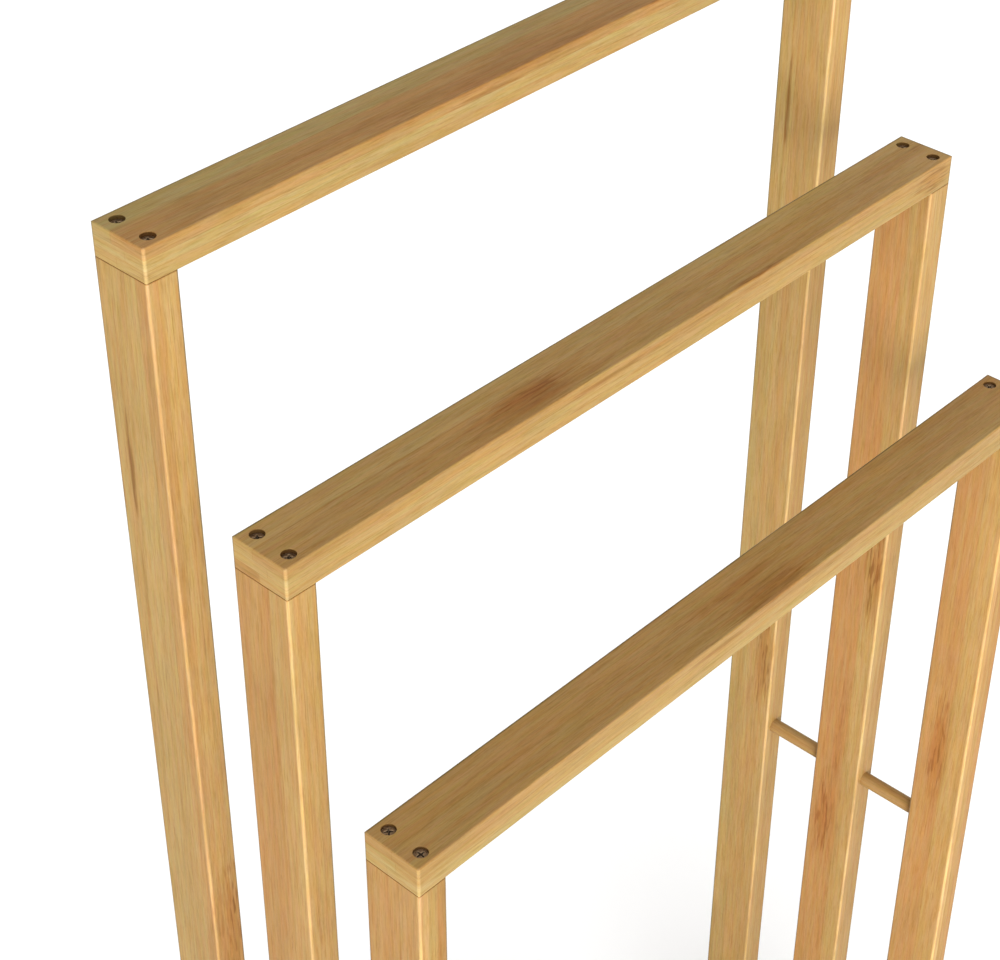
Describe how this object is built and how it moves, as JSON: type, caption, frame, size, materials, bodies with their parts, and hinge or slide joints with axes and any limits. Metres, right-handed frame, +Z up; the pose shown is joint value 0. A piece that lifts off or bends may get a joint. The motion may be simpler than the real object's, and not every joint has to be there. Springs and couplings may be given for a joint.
{
  "type": "towel rack",
  "caption": "Free-standing bamboo towel rack of stepped upright frames, each with a flat top rail, joined by round side rods and standing on two foot runners.",
  "frame": {"origin": "on the floor, midway between the two foot runners and midway along their length", "axes": "+X along the towel rails to the right, +Y from the low front frame to the tall rear frame, +Z up"},
  "size_m": [0.42, 0.24, 0.825],
  "materials": {
    "bamboo": "satin clear lacquer on laminated bamboo strips",
    "rod_bamboo": "satin clear lacquer on turned bamboo",
    "screw_steel": "dull bronze-grey plating",
    "pad_rubber": "matt black"
  },
  "bodies": {
    "root": {"rear_rail": "bamboo", "middle_rail": "bamboo", "front_rail": "bamboo", "rear_post_left": "bamboo", "rear_post_right": "bamboo", "middle_post_left": "bamboo", "middle_post_right": "bamboo", "front_post_left": "bamboo", "front_post_right": "bamboo", "rear_rod_left": "rod_bamboo", "rear_rod_right": "rod_bamboo", "front_rod_left": "rod_bamboo", "front_rod_right": "rod_bamboo", "runner_left": "bamboo", "runner_right": "bamboo", "rear_stretcher": "bamboo", "front_stretcher": "bamboo", "rear_rail_screws": "screw_steel", "middle_rail_screws": "screw_steel", "front_rail_screws": "screw_steel", "runner_screws_left": "screw_steel", "runner_screws_right": "screw_steel", "stretcher_screws_left": "screw_steel", "stretcher_screws_right": "screw_steel", "rear_pad_left": "pad_rubber", "rear_pad_right": "pad_rubber", "front_pad_left": "pad_rubber", "front_pad_right": "pad_rubber"}
  },
  "joints": []
}
